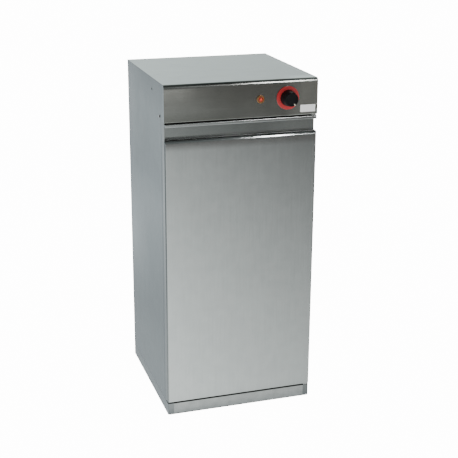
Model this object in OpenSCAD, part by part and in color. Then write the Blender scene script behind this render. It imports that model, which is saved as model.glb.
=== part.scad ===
// Plate warmer cabinet with one door: folded stainless casing, insulated and
// heated cavity with two wire shelves, and a door on two pivots at its right.
// +X is to the right, +Y to the back and +Z up. The origin is the middle of
// the base, on the floor.

/* [Casing] */
// Width over the side panels
cabinet_w = 400; // [390:1:520]
// Depth from the face of the door to the back panel
cabinet_d = 402; // [380:1:540]
// Height from the floor to the top of the cover
cabinet_h = 885; // [800:1:1100]
// Thickness of the casing sheet
skin_t = 1.2; // [1:0.1:1.4]
// Height of the control fascia
fascia_h = 93; // [88:1:110]
// Outer radius of the fold between the cover and the fascia
fold_r = 9; // [5:0.5:12]
// Outer radius of the other folds in the casing
bend_r = 2; // [1.8:0.1:2.6]
// Width of the side panels' inward returns
side_return = 12; // [8:1:16]
// Clearance where one sheet tucks behind another
seam = 0.2; // [0.1:0.05:0.3]

/* [Plinth] */
// Height of the plinth
plinth_h = 33; // [28:1:60]
// Width of the plinth's corners on the front
plinth_wrap = 16; // [12:1:24]
// Outer radius of the plinth's front corners
plinth_r = 6; // [3:0.5:9]
// Width of the ledge that carries the casing
plinth_ledge = 26; // [25:1:30]

/* [Door] */
// Thickness of the door
door_t = 22; // [20:0.5:28]
// Gap above and below the door
door_gap = 3.5; // [3:0.1:5]
// Gap between the door and the casing behind it
face_gap = 2; // [1.8:0.1:3]
// Outer radius of the door's upright edges
door_side_r = 3.5; // [2:0.1:4.5]
// Outer radius of the door's top edge, below the grip
door_top_r = 8; // [4:0.5:12]
// Height of the grip channel's mouth
grip_h = 31.7; // [24:0.1:40]
// Height of the lip above the grip channel
lip_h = 8.8; // [7.5:0.1:12]
// Thickness of the door's inner panel
door_panel_t = 1; // [0.8:0.1:1.2]
// Depth of the inner panel's folded edge
door_panel_edge = 8; // [5:1:9]
// Width of the door gasket
gasket_w = 9; // [6:0.5:11]

/* [Hinges] */
// Distance of the pivots from the side of the door
pivot_inset = 7; // [6.4:0.1:7.4]
// Distance of the pivots behind the face of the door
pivot_setback = 6.2; // [5.8:0.1:7.4]
// Radius of the pivot pins
pin_r = 2.5; // [1.8:0.1:2.6]
// Radial play of the pins in their bushes
pin_play = 0.05; // [0.02:0.01:0.08]
// Thickness of the hinge leaves
leaf_t = 2.6; // [1.8:0.1:2.6]
// Width of the hinge leaves
leaf_w = 15; // [13:0.5:20]
// Height of the lower pivot bush
lower_bush_h = 14; // [8:1:30]

/* [Cavity] */
// Thickness of the insulated side walls
side_wall = 30; // [26:1:40]
// Thickness of the insulated back wall
back_wall = 31; // [28:1:45]
// Thickness of the insulated floor
floor_wall = 29; // [26:1:40]
// Height between the cavity and the control compartment
roof_wall = 62; // [58:1:80]
// Thickness of the liner sheet
liner_t = 1; // [0.8:0.1:1.2]
// Thickness of the insulation above the liner
roof_wool = 40; // [25:1:50]

/* [Shelves] */
// Radius of the racks' uprights and of the shelves' frames
frame_wire_r = 2.5; // [2:0.1:3]
// Radius of the racks' rungs
rung_r = 2; // [1.6:0.1:2.4]
// Number of levels in the racks
rack_levels = 7; // [7:1:10]
// Level that carries the lower shelf, counted from the bottom
lower_level = 3; // [1:1:4]
// Level that carries the upper shelf, counted from the bottom
upper_level = 5; // [5:1:7]
// Radius of the wires that the plates stand on
shelf_wire_r = 1.4; // [1:0.1:2]
// Distance from one of those wires to the next
shelf_wire_pitch = 16; // [12:0.5:30]
// Radius of the corners of a shelf
shelf_corner_r = 12; // [8:1:20]
// Distance of the rack uprights before and behind the middle
rack_reach = 120; // [90:1:130]

/* [Heater] */
// Radius of the tubular element
element_r = 3.25; // [2.5:0.05:4]
// Distance between the element's runs
element_pitch = 70; // [50:1:76]
// Height of the element above the cavity floor
element_lift = 22; // [18:1:26]
// Height of the guard plate above the cavity floor
guard_h = 46; // [40:1:60]
// Radius of the holes in the guard plate
guard_hole_r = 5; // [3:0.5:7]
// Distance between the holes in the guard plate
guard_pitch = 28; // [20:1:40]

/* [Controls] */
// Distance of the dial from the right side
dial_inset = 81; // [60:1:100]
// Distance of the dial below the top
dial_drop = 46.8; // [42:0.2:50]
// Radius of the dial bezel
bezel_r = 29.5; // [26:0.5:32]
// Thickness of the dial bezel
bezel_t = 3.2; // [2.6:0.1:5]
// Radius of the knob at its foot
knob_r = 20.5; // [18:0.5:24]
// Depth of the knob
knob_l = 27.5; // [20:0.5:32]
// Loss of radius from the knob's foot to its front
knob_taper = 3.2; // [1:0.1:4]
// Radius of the thermostat shaft
shaft_r = 3; // [2.5:0.1:3.5]
// Radial play of the shaft in the thermostat
shaft_play = 0.05; // [0.02:0.01:0.08]
// Distance of the signal lamp from the dial
lamp_pitch = 72; // [50:1:110]
// Radius of the signal lamp's collar
lamp_r = 10; // [8.5:0.5:13]
// Radius of the signal lamp's lens
lens_r = 6; // [4:0.1:6.2]
// Distance of the cable entry from the right side
entry_inset = 70; // [40:1:120]
// Radius of the bore for the cable
cable_bore_r = 4.2; // [3:0.1:5]

/* [Hidden] */
$fn = 64;

// The casing's main planes
half_w = cabinet_w / 2;
front_y = -cabinet_d / 2;
back_y = cabinet_d / 2;
inner_w = half_w - skin_t;
fascia_z = cabinet_h - fascia_h;
face_y = front_y + door_t + face_gap;
frame_y = face_y + skin_t;
wall_y = frame_y + skin_t;
rear_y = back_y - 2 * skin_t;
rear_flange = 22;

// The door's main planes
door_z0 = plinth_h + door_gap;
door_z1 = fascia_z - door_gap;
lip_z = door_z1 - lip_h;
shoulder_z = lip_z - grip_h;
door_back = front_y + door_t;
cap_gap = 0.5;
gasket_gap = 0.3;
pivot_x = half_w - pivot_inset;
pivot_y = front_y + pivot_setback;

// The cavity's main planes
cavity_w = half_w - side_wall;
cavity_y1 = back_y - back_wall;
cavity_z0 = plinth_h + floor_wall;
cavity_z1 = fascia_z - roof_wall;
liner_r = 3;

// Racks and shelves
rack_x = cavity_w - frame_wire_r - 1.5;
rung_x = rack_x - frame_wire_r - rung_r + 0.2;
tip_gap = 1;
rung_step = 2 * rung_r + 2 * frame_wire_r + tip_gap;
rung_half = cavity_y1 - 15;
ring_r = 6;
stud_r = ring_r - frame_wire_r - 0.3;
rack_z0 = cavity_z0 + guard_h + 28;
rack_foot = rack_z0 - 14;
rack_top = cavity_z1 - 24;
rack_pitch = (rack_top - 22 - rung_step - rack_z0) / (rack_levels - 1);
shelf_x = rack_x - 2 * frame_wire_r - 0.5;
shelf_y0 = wall_y + 12;
shelf_y1 = cavity_y1 - 8;

// Heater
element_z = cavity_z0 + element_lift;
element_bend = element_pitch / 2;
element_front = -100;
element_rear = 90;
element_end = cavity_y1 + liner_t + 12;
element_runs = [for (i = [0:3]) (i - 1.5) * element_pitch];

// Controls
dial_x = half_w - dial_inset;
dial_z = cabinet_h - dial_drop;
lamp_x = dial_x - lamp_pitch;
plate_y = front_y + skin_t;
thermostat_l = 30;
thermostat_w = 36;
thermostat_h = 31;
knob_y = front_y - bezel_t - 0.4;
shaft_depth = 15;
pilot_r = 6.2;
entry_x = half_w - entry_inset;
entry_z = fascia_z + 42;
bulb_y = -100;
bulb_l = 90;
bulb_r = 3.2;
bulb_z = cavity_z1 - 10;
capillary_r = 1;
capillary_bend = 10;
capillary_y = bulb_y - capillary_bend;

// Fasteners
screw_r = 2;
side_screw_y = front_y + 44.8;
side_screw_z = fascia_z + 9.3;
rivet_y = front_y + 121;
rivet_z = cabinet_h - 29.4;
cleat_h = 38;

// A straight round bar from one point to another
module rod(from, to, r) {
    d = to - from;
    len = norm(d);
    translate(from) rotate([0, acos(d.z / len), atan2(d.y, d.x)]) cylinder(h = len, r = r);
}

// A box between two corners
module block(low, high) {
    translate(low) cube(high - low);
}

// Extrude an outline drawn in y and z along x
module along_x(x0, x1) {
    translate([x0, 0, 0]) rotate([90, 0, 90]) linear_extrude(x1 - x0) children();
}

// Extrude an outline drawn in x and z along y
module along_y(y0, y1) {
    translate([0, y1, 0]) rotate([90, 0, 0]) linear_extrude(y1 - y0) children();
}

// A quarter of a fold in sheet of thickness t, outer radius r, in quadrant q
module bend(centre, r, q, t = skin_t) {
    translate(centre) rotate(90 * q) intersection() {
        difference() {
            circle(r);
            circle(r - t);
        }
        square(r);
    }
}

// A rectangle between two corners
module plate(low, high) {
    translate(low) square(high - low);
}

// The section of a folded channel: flat web at the bottom, a leg at each side
module channel(w, h, r = bend_r, t = skin_t) {
    plate([-w / 2 + r, 0], [w / 2 - r, t]);
    for (side = [0, 1]) mirror([side, 0]) {
        bend([-w / 2 + r, r], r, 2, t);
        plate([-w / 2, r], [-w / 2 + t, h]);
    }
}

// The section of a folded angle: one leg along x, one along y, from the corner
module angle_section(a, b, r = bend_r, t = skin_t) {
    plate([r, 0], [a, t]);
    plate([0, r], [t, b]);
    bend([r, r], r, 2, t);
}

// A rectangle with two corners rounded on its low y side
module front_rounded(low, high, r) {
    plate([low.x, low.y + r], high);
    plate([low.x + r, low.y], [high.x - r, low.y + r]);
    for (x = [low.x + r, high.x - r]) translate([x, low.y + r]) circle(r);
}

// A bore along y
module bore_y(x, z, r, y0, y1) {
    translate([x, y0, z]) rotate([-90, 0, 0]) cylinder(h = y1 - y0, r = r);
}

// ---- Casing ----

// Side view of the cover: top, fascia and rear flange
module cover_section() {
    plate([front_y + fold_r, cabinet_h - skin_t], [back_y - bend_r, cabinet_h]);
    bend([front_y + fold_r, cabinet_h - fold_r], fold_r, 1);
    plate([front_y, fascia_z + bend_r], [front_y + skin_t, cabinet_h - fold_r]);
    bend([back_y - bend_r, cabinet_h - bend_r], bend_r, 0);
    plate([back_y - skin_t, cabinet_h - rear_flange], [back_y, cabinet_h - bend_r]);
}

// Side view of the fold under the fascia
module fascia_return() {
    bend([front_y + bend_r, fascia_z + bend_r], bend_r, 2);
    plate([front_y + bend_r, fascia_z], [frame_y, fascia_z + skin_t]);
}

// One sheet; the fold under the fascia ends inside the side panels
module top_cover() {
    color([0.74, 0.75, 0.74]) difference() {
        union() {
            along_x(-half_w, half_w) cover_section();
            along_x(-inner_w + seam, inner_w - seam) fascia_return();
        }
        for (p = leaf_screws) translate([p.x, p.y, fascia_z - 1])
            cylinder(h = skin_t + 2, r = hinge_screw_r + 0.1);
        bore_y(dial_x, dial_z, shaft_r + 2.3, front_y - 1, front_y + skin_t + 1);
        for (x = [-14, 14]) bore_y(dial_x + x, dial_z, screw_r + 0.2, front_y - 1, front_y + skin_t + 1);
        bore_y(lamp_x, dial_z, pilot_r + 0.1, front_y - 1, front_y + skin_t + 1);
    }
}

// Outline of a side panel's web in y and z: full depth beside the fascia, set
// back behind the door below it
module side_outline() {
    top = cabinet_h - skin_t - seam;
    ear_y = plate_y + seam;
    r = fold_r - skin_t - seam;
    plate([face_y + bend_r, plinth_h + seam], [rear_y + skin_t - bend_r, top]);
    plate([ear_y, fascia_z], [face_y + bend_r, cabinet_h - fold_r]);
    plate([front_y + fold_r, fascia_z], [face_y + bend_r, top]);
    intersection() {
        translate([front_y + fold_r, cabinet_h - fold_r]) circle(r);
        plate([ear_y, cabinet_h - fold_r], [front_y + fold_r, top]);
    }
}

// The folded returns of the left side panel, seen from above
module side_returns() {
    inner_y = rear_y + skin_t;
    bend([-half_w + bend_r, face_y + bend_r], bend_r, 2);
    plate([-half_w + bend_r, face_y], [-half_w + side_return, frame_y]);
    bend([-half_w + bend_r, inner_y - bend_r], bend_r, 1);
    plate([-half_w + bend_r, rear_y], [-half_w + side_return, inner_y]);
}

module side_panel() {
    difference() {
        union() {
            along_x(-half_w, -inner_w) side_outline();
            translate([0, 0, plinth_h + seam]) linear_extrude(fascia_z - plinth_h - seam) side_returns();
        }
        for (p = [[side_screw_y, side_screw_z], [rivet_y, rivet_z]])
            rod([-half_w - 1, p.x, p.y], [-inner_w + 1, p.x, p.y], screw_r + 0.1);
        for (z = back_screw_z) bore_y(-back_screw_x, z, screw_r + 0.1, rear_y - 1, rear_y + skin_t + 1);
    }
}

module left_side_panel() {
    color([0.66, 0.69, 0.71]) side_panel();
}

module right_side_panel() {
    color([0.66, 0.69, 0.71]) mirror([1, 0, 0]) side_panel();
}

// Places of the back panel's screws
back_screw_x = half_w - side_return / 2 - 1;
back_screw_z = [for (i = [0:3]) plinth_h + 30 + i * (fascia_z - plinth_h - 60) / 3];
back_screw_places = [for (x = [-back_screw_x, back_screw_x]) for (z = back_screw_z) [x, z]];
vent_count = 9;
vent_pitch = 14;

module back_panel() {
    color([0.66, 0.68, 0.69]) difference() {
        block([-half_w, back_y - skin_t, plinth_h + seam], [half_w, back_y, cabinet_h - rear_flange - seam]);
        for (p = back_screw_places) bore_y(p.x, p.y, screw_r + 0.1, back_y - 2 * skin_t, back_y + 1);
        bore_y(entry_x, entry_z, 8.1, back_y - 2 * skin_t, back_y + 1);
        for (i = [0:vent_count - 1]) translate([-half_w + 60 + i * vent_pitch, 0, fascia_z + 24]) {
            bore_y(0, 0, 2.5, back_y - 2 * skin_t, back_y + 1);
            bore_y(0, 30, 2.5, back_y - 2 * skin_t, back_y + 1);
            block([-2.5, back_y - 2 * skin_t, 0], [2.5, back_y + 1, 30]);
        }
    }
}

// Plinth: an open tray with a ledge round its top, folded round the front corners
module base_tray() {
    low = [-half_w, front_y];
    high = [half_w, back_y];
    t = [skin_t, skin_t];
    ledge = plinth_ledge - skin_t;
    color([0.6, 0.61, 0.6]) difference() {
        linear_extrude(plinth_h) front_rounded(low, high, plinth_r);
        translate([0, 0, skin_t]) linear_extrude(plinth_h - 2 * skin_t)
            front_rounded(low + t, high - t, plinth_r - skin_t);
        block([-half_w + plinth_ledge, front_y - 1, plinth_h - skin_t - 1],
              [half_w - plinth_ledge, back_y - plinth_ledge, plinth_h + 1]);
        block([-half_w + plinth_wrap, front_y - 1, skin_t],
              [half_w - plinth_wrap, front_y + skin_t, plinth_h + 1]);
        block([-half_w + plinth_wrap, front_y - 1, plinth_h - skin_t - 1],
              [half_w - plinth_wrap, front_y + skin_t + ledge, plinth_h + 1]);
        for (p = leaf_screws) translate([p.x, p.y, plinth_h - skin_t - 1])
            cylinder(h = skin_t + 2, r = hinge_screw_r + 0.1);
    }
}

// The strip between the plinth's corners, with its top folded back as a ledge
module plinth_front() {
    w = half_w - plinth_wrap - seam;
    lap = half_w - skin_t - plinth_r;
    y = front_y + skin_t;
    color([0.76, 0.77, 0.76]) {
        along_x(-w, w) {
            bend([y + bend_r, plinth_h - bend_r], bend_r, 1);
            plate([y + bend_r, plinth_h - skin_t], [front_y + plinth_ledge - seam, plinth_h]);
        }
        block([-lap, y, skin_t], [lap, y + skin_t, plinth_h - bend_r]);
    }
}

module floor_pan() {
    w = 2 * (inner_w - seam);
    color([0.6, 0.61, 0.61])
        translate([0, 0, plinth_h]) along_y(wall_y, rear_y + skin_t - bend_r) channel(w, 16);
}

// The flat frame round the mouth of the cavity, behind the side returns
module front_frame() {
    color([0.7, 0.71, 0.7]) along_y(frame_y, wall_y) difference() {
        plate([-half_w + bend_r, plinth_h], [half_w - bend_r, fascia_z + 12]);
        plate([-cavity_w, cavity_z0], [cavity_w, cavity_z1]);
        plate([-catch_x - catch_w / 2 - seam, catch_z - seam],
              [-catch_x + catch_w / 2 + seam, catch_z + catch_h + seam]);
    }
}

module control_shelf() {
    w = 2 * (inner_w - seam);
    color([0.6, 0.61, 0.61]) difference() {
        translate([0, 0, fascia_z]) along_y(wall_y, rear_y - seam) channel(w, 20);
        translate([dial_x, capillary_y, fascia_z - 1]) cylinder(h = skin_t + 2, r = 4);
        for (side = [-1, 1]) translate([side * loom_x, loom_y, fascia_z - 1]) cylinder(h = skin_t + 2, r = 4);
        for (side = [-1, 1]) rod([side * (inner_w - 3), side_screw_y, side_screw_z],
                                 [side * half_w, side_screw_y, side_screw_z], screw_r + 0.1);
    }
}

// An angle under the cover's edge, riveted to the side panel
module cleat() {
    color([0.6, 0.61, 0.61]) difference() {
        translate([-inner_w, 0, cabinet_h - skin_t]) mirror([0, 0, 1])
            along_y(-150, rear_y - 30) angle_section(22, cleat_h);
        rod([-inner_w - 1, rivet_y, rivet_z], [-inner_w + 3, rivet_y, rivet_z], screw_r + 0.1);
    }
}

module left_cleat() {
    cleat();
}

module right_cleat() {
    mirror([1, 0, 0]) cleat();
}

// ---- Heated cavity ----

module liner_wrap() {
    w = 2 * (cavity_w + liner_t);
    h = cavity_z1 - cavity_z0 + liner_t;
    color([0.72, 0.73, 0.72]) difference() {
        translate([0, 0, cavity_z1 + liner_t]) mirror([0, 0, 1])
            along_y(wall_y, cavity_y1) channel(w, h, liner_r, liner_t);
        translate([dial_x, capillary_y, cavity_z1 - 1]) cylinder(h = liner_t + 2, r = capillary_r + 1);
    }
}

module liner_floor() {
    w = cavity_w + liner_t;
    color([0.72, 0.73, 0.72]) block([-w, wall_y, cavity_z0 - liner_t], [w, cavity_y1, cavity_z0]);
}

module liner_back() {
    w = cavity_w + liner_t;
    color([0.72, 0.73, 0.72]) difference() {
        block([-w, cavity_y1, cavity_z0 - liner_t], [w, cavity_y1 + liner_t, cavity_z1 + liner_t]);
        for (x = [element_runs[0], element_runs[3]])
            bore_y(x, element_z, 6, cavity_y1 - 1, cavity_y1 + liner_t + 1);
    }
}

wool = [0.86, 0.8, 0.55];
wool_gap = 0.3;
wool_back = back_y - back_wall + 19;

module side_insulation() {
    x0 = cavity_w + liner_t + wool_gap;
    x1 = inner_w - skin_t - seam - wool_gap;
    color(wool) for (side = [0, 1]) mirror([side, 0, 0])
        block([x0, wall_y + wool_gap, cavity_z0 - liner_t], [x1, wool_back, cavity_z1 + liner_t]);
}

module back_insulation() {
    w = cavity_w + liner_t;
    color(wool) difference() {
        block([-w, cavity_y1 + liner_t + wool_gap, cavity_z0 - liner_t], [w, wool_back, cavity_z1 + liner_t]);
        for (x = [element_runs[0], element_runs[3]]) bore_y(x, element_z, 10, cavity_y1, wool_back + 1);
    }
}

module roof_insulation() {
    z = cavity_z1 + liner_t + wool_gap;
    color(wool) difference() {
        block([-inner_w + 5, wall_y + 20, z], [inner_w - 5, wool_back, z + roof_wool]);
        translate([dial_x, capillary_y, z - 1]) cylinder(h = roof_wool + 2, r = capillary_r + 0.4);
    }
}

module floor_insulation() {
    w = inner_w - skin_t - seam - wool_gap;
    color(wool) block([-w, wall_y + wool_gap, plinth_h + skin_t + wool_gap],
                      [w, wool_back, cavity_z0 - liner_t - wool_gap]);
}

// ---- Racks and shelves ----

function rung_z(level) = rack_z0 + (level - 1) * rack_pitch;

// A wire ladder that hangs on four studs; each level is a pair of rungs
module rack() {
    color([0.8, 0.8, 0.8]) {
        for (y = [-rack_reach, rack_reach]) {
            rod([rack_x, y, rack_foot + ring_r], [rack_x, y, rack_top - ring_r], frame_wire_r);
            for (z = [rack_foot, rack_top]) translate([rack_x, y, z]) rotate([0, 90, 0])
                rotate_extrude() translate([ring_r, 0]) circle(frame_wire_r);
        }
        for (level = [1:rack_levels]) for (z = [rung_z(level), rung_z(level) + rung_step])
            rod([rung_x, -rung_half, z], [rung_x, rung_half, z], rung_r);
    }
}

module left_rack() {
    mirror([1, 0, 0]) rack();
}

module right_rack() {
    rack();
}

module rack_studs() {
    head = rack_x - frame_wire_r - 0.4;
    color([0.62, 0.62, 0.62]) for (side = [0, 1]) mirror([side, 0, 0])
        for (y = [-rack_reach, rack_reach]) for (z = [rack_foot, rack_top]) {
            rod([head - 2, y, z], [cavity_w, y, z], stud_r);
            rod([head - 2, y, z], [head, y, z], stud_r + 2);
        }
}

// A wire shelf: round frame with closed corners, two cross bars under the wires
module shelf(level) {
    z = rung_z(level) + rung_r + frame_wire_r + 0.1;
    wire_z = z + frame_wire_r + shelf_wire_r - 0.6;
    r = shelf_corner_r;
    reach = shelf_x - r;
    count = floor(2 * reach / shelf_wire_pitch / 2);
    color([0.82, 0.82, 0.82]) {
        for (x = [-shelf_x, shelf_x]) rod([x, shelf_y0 + r, z], [x, shelf_y1 - r, z], frame_wire_r);
        for (y = [shelf_y0, shelf_y1]) rod([-reach, y, z], [reach, y, z], frame_wire_r);
        for (c = [[reach, shelf_y1 - r, 0], [-reach, shelf_y1 - r, 90],
                  [-reach, shelf_y0 + r, 180], [reach, shelf_y0 + r, 270]])
            translate([c.x, c.y, z]) rotate([0, 0, c.z])
                rotate_extrude(angle = 90) translate([r, 0]) circle(frame_wire_r);
        for (i = [-count:count]) rod([i * shelf_wire_pitch, shelf_y0 - 0.5, wire_z],
                                     [i * shelf_wire_pitch, shelf_y1 + 0.5, wire_z], shelf_wire_r);
        for (y = [-75, 75]) rod([-shelf_x, y, z], [shelf_x, y, z], frame_wire_r - 0.4);
    }
}

module lower_shelf() {
    shelf(lower_level);
}

module upper_shelf() {
    shelf(upper_level);
}

// ---- Heater ----

// One tube in four runs: a loop at the back between two loops at the front
module heating_element() {
    color([0.3, 0.28, 0.27]) translate([0, 0, element_z]) {
        for (x = [element_runs[0], element_runs[3]]) rod([x, element_front, 0], [x, element_end, 0], element_r);
        for (x = [element_runs[1], element_runs[2]])
            rod([x, element_front, 0], [x, element_rear, 0], element_r);
        for (x = [-element_pitch, element_pitch]) translate([x, element_front, 0]) rotate([0, 0, 180])
            rotate_extrude(angle = 180) translate([element_bend, 0]) circle(element_r);
        translate([0, element_rear, 0])
            rotate_extrude(angle = 180) translate([element_bend, 0]) circle(element_r);
    }
}

// Threaded bushes where the element's ends leave the cavity, with their nuts
module element_bushes() {
    y = cavity_y1;
    color([0.78, 0.64, 0.35]) for (x = [element_runs[0], element_runs[3]]) difference() {
        union() {
            bore_y(x, element_z, 9, y - 3, y);
            bore_y(x, element_z, 5.9, y - 0.5, y + liner_t + 6);
            translate([x, y + liner_t, element_z]) rotate([-90, 0, 0]) cylinder(h = 4, r = 9, $fn = 6);
        }
        bore_y(x, element_z, element_r + 0.05, y - 4, y + 20);
    }
}

// A folded strip that the four runs pass through
module element_stand(y) {
    reach = 1.5 * element_pitch + 16;
    color([0.68, 0.68, 0.67]) difference() {
        translate([0, y, cavity_z0]) along_x(-reach, reach) angle_section(14, element_lift + 12);
        for (x = element_runs) bore_y(x, element_z, element_r + 0.15, y - 1, y + skin_t + 1);
    }
}

module front_element_stand() {
    element_stand(element_front + 20);
}

module rear_element_stand() {
    element_stand(element_rear - 40);
}

// Perforated plate over the element, standing on its two folded legs
module element_guard() {
    w = 2 * (cavity_w - 2);
    y0 = wall_y + 8;
    y1 = cavity_y1 - 6;
    columns = floor((w / 2 - 14) / guard_pitch);
    rows = floor((y1 - y0 - 28) / 2 / guard_pitch);
    middle = (y0 + y1) / 2;
    color([0.7, 0.71, 0.7]) difference() {
        translate([0, 0, cavity_z0 + guard_h])
            mirror([0, 0, 1]) along_y(y0, y1) channel(w, guard_h, liner_r, liner_t);
        for (i = [-columns:columns]) for (j = [-rows:rows])
            translate([i * guard_pitch, middle + j * guard_pitch, cavity_z0 + guard_h - liner_t - 1])
                cylinder(h = liner_t + 2, r = guard_hole_r);
    }
}

// ---- Controls ----

module thermostat_body() {
    y0 = plate_y;
    y1 = plate_y + thermostat_l;
    w = thermostat_w / 2;
    h = thermostat_h / 2;
    color([0.85, 0.84, 0.8]) difference() {
        union() {
            block([dial_x - w, y0 + 2, dial_z - h], [dial_x + w, y1 - 6, dial_z + h]);
            block([dial_x - w - 2, y0, dial_z - 8], [dial_x + w + 2, y0 + 2, dial_z + 8]);
            block([dial_x - w + 3, y1 - 6, dial_z - h + 3], [dial_x + w - 3, y1, dial_z + h - 3]);
            for (x = [dial_x - 8, dial_x + 8])
                block([x - 3.2, y1, dial_z + 5], [x + 3.2, y1 + 8, dial_z + 5.8]);
        }
        bore_y(dial_x, dial_z, shaft_r + shaft_play, y0 - 1, y0 + 18);
        for (x = [-14, 14]) bore_y(dial_x + x, dial_z, 1.6, y0 - 1, y0 + 8);
    }
}

// The gas tube from the thermostat down to its bulb under the cavity's roof
module capillary() {
    y0 = plate_y + thermostat_l;
    z0 = dial_z - 6;
    b = capillary_bend;
    color([0.75, 0.5, 0.35]) translate([dial_x, 0, 0]) {
        rod([0, y0, z0], [0, capillary_y - b, z0], capillary_r);
        translate([0, capillary_y - b, z0 - b]) rotate([0, 90, 0]) rotate([0, 0, 90])
            rotate_extrude(angle = 90) translate([b, 0]) circle(capillary_r);
        rod([0, capillary_y, z0 - b], [0, capillary_y, bulb_z + b], capillary_r);
        translate([0, capillary_y + b, bulb_z + b]) rotate([0, 90, 0]) rotate([0, 0, -90])
            rotate_extrude(angle = 90) translate([b, 0]) circle(capillary_r);
    }
}

module thermostat_bulb() {
    color([0.75, 0.5, 0.35]) rod([dial_x, bulb_y, bulb_z], [dial_x, bulb_y + bulb_l, bulb_z], bulb_r);
}

// Spring clips that hold the bulb under the roof
module bulb_clips() {
    color([0.7, 0.7, 0.7]) for (y = [bulb_y + 15, bulb_y + bulb_l - 21]) difference() {
        union() {
            bore_y(dial_x, bulb_z, bulb_r + 1, y, y + 6);
            block([dial_x - 1, y, bulb_z + bulb_r + 0.5], [dial_x + 1, y + 6, cavity_z1]);
            block([dial_x - 6, y, cavity_z1 - 1], [dial_x + 6, y + 6, cavity_z1]);
        }
        bore_y(dial_x, bulb_z, bulb_r + 0.1, y - 1, y + 7);
        block([dial_x - 1.5, y - 1, bulb_z - bulb_r - 2], [dial_x + 1.5, y + 7, bulb_z - 1]);
    }
}

module thermostat_screws() {
    color([0.7, 0.7, 0.7]) for (x = [-14, 14]) {
        bore_y(dial_x + x, dial_z, 3.4, front_y - 1.6, front_y);
        bore_y(dial_x + x, dial_z, 1.5, front_y - 0.5, plate_y + 7);
    }
}

// A shallow ring round the knob, hollow behind, with a rounded outer rim
module dial_bezel() {
    rim = 1.4;
    color([0.8, 0.12, 0.13]) translate([dial_x, front_y, dial_z]) rotate([90, 0, 0]) rotate_extrude() {
        plate([bezel_r - 2.4, 0], [bezel_r, bezel_t - rim]);
        plate([bezel_r - 2.4, bezel_t - rim], [bezel_r - rim, bezel_t]);
        plate([11, bezel_t - 1.2], [bezel_r - 2.4, bezel_t]);
        quarter([bezel_r - rim, bezel_t - rim], rim);
    }
}

module lamp_collar() {
    color([0.85, 0.5, 0.2]) translate([lamp_x, front_y, dial_z]) rotate([90, 0, 0]) rotate_extrude() {
        plate([lens_r + 0.1, 0], [lamp_r - 0.8, 3]);
        plate([lamp_r - 0.8, 0], [lamp_r, 2.2]);
        quarter([lamp_r - 0.8, 2.2], 0.8);
        plate([0, -24], [pilot_r, 0.5]);
    }
}

// A low dome seated in the collar
module lamp_lens() {
    rise = 1.8;
    dome = (lens_r * lens_r + rise * rise) / (2 * rise);
    color([0.9, 0.2, 0.12]) translate([lamp_x, front_y - 0.6, dial_z]) rotate([90, 0, 0]) {
        cylinder(h = 2, r = lens_r);
        intersection() {
            translate([0, 0, 2 + rise - dome]) sphere(dome);
            translate([0, 0, 1.9]) cylinder(h = rise + 1, r = lens_r);
        }
    }
}

module lamp_nut() {
    color([0.2, 0.2, 0.2]) difference() {
        translate([lamp_x, plate_y, dial_z]) rotate([-90, 0, 0]) cylinder(h = 3.5, r = 10, $fn = 6);
        bore_y(lamp_x, dial_z, pilot_r + 0.1, plate_y - 1, plate_y + 5);
    }
}

block_x = entry_x - 36;
block_y = rear_y - 62;
block_z = fascia_z + skin_t;

// Three-pole terminal block on the control shelf
module terminal_block() {
    color([0.88, 0.86, 0.78]) {
        block([block_x - 24, block_y, block_z], [block_x + 24, block_y + 22, block_z + 8]);
        for (i = [0:3]) block([block_x - 24 + i * 15.2, block_y, block_z + 7.9],
                              [block_x - 24 + i * 15.2 + 2.4, block_y + 22, block_z + 16]);
        for (i = [0:2]) block([block_x - 21.6 + i * 15.2 + 1, block_y + 4, block_z + 7.9],
                              [block_x - 21.6 + i * 15.2 + 11.8, block_y + 18, block_z + 13]);
    }
}

loom_r = 1.6;
loom_x = 1.5 * element_pitch;
loom_y = wool_back + 4;
wire_bend = 9;

function unit(v) = v / norm(v);

// A route with its corners cut to arcs of wire_bend at the most
function wire_route(points) = [for (i = [0:len(points) - 1])
    let (p = points[i], inner = i > 0 && i < len(points) - 1)
    let (back = inner ? points[i - 1] - p : [0, 0, 0], on = inner ? points[i + 1] - p : [0, 0, 0])
    let (cut = inner ? min(wire_bend, norm(back) * 0.45, norm(on) * 0.45) : 0)
    let (a = inner ? p + cut * unit(back) : p, b = inner ? p + cut * unit(on) : p)
    for (k = [0:inner ? 4 : 0]) let (t = k / 4) (1 - t) * (1 - t) * a + 2 * t * (1 - t) * p + t * t * b];

// One wire swept along its route
module wire(points) {
    route = wire_route(points);
    last = len(route) - 1;
    sides = 8;
    rings = [for (i = [0:last])
        let (way = unit(route[min(i + 1, last)] - route[max(i - 1, 0)]))
        let (u = unit(cross(way, [0.31, 0.53, 0.79])), v = cross(way, u))
        for (k = [0:sides - 1]) route[i] + loom_r * (cos(k * 360 / sides) * u + sin(k * 360 / sides) * v)];
    walls = [for (i = [0:last - 1]) for (k = [0:sides - 1]) let (n = (k + 1) % sides)
        [i * sides + k, (i + 1) * sides + k, (i + 1) * sides + n, i * sides + n]];
    caps = [[for (k = [0:sides - 1]) k], [for (k = [0:sides - 1]) last * sides + sides - 1 - k]];
    polyhedron(points = rings, faces = concat(walls, caps));
}

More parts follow.
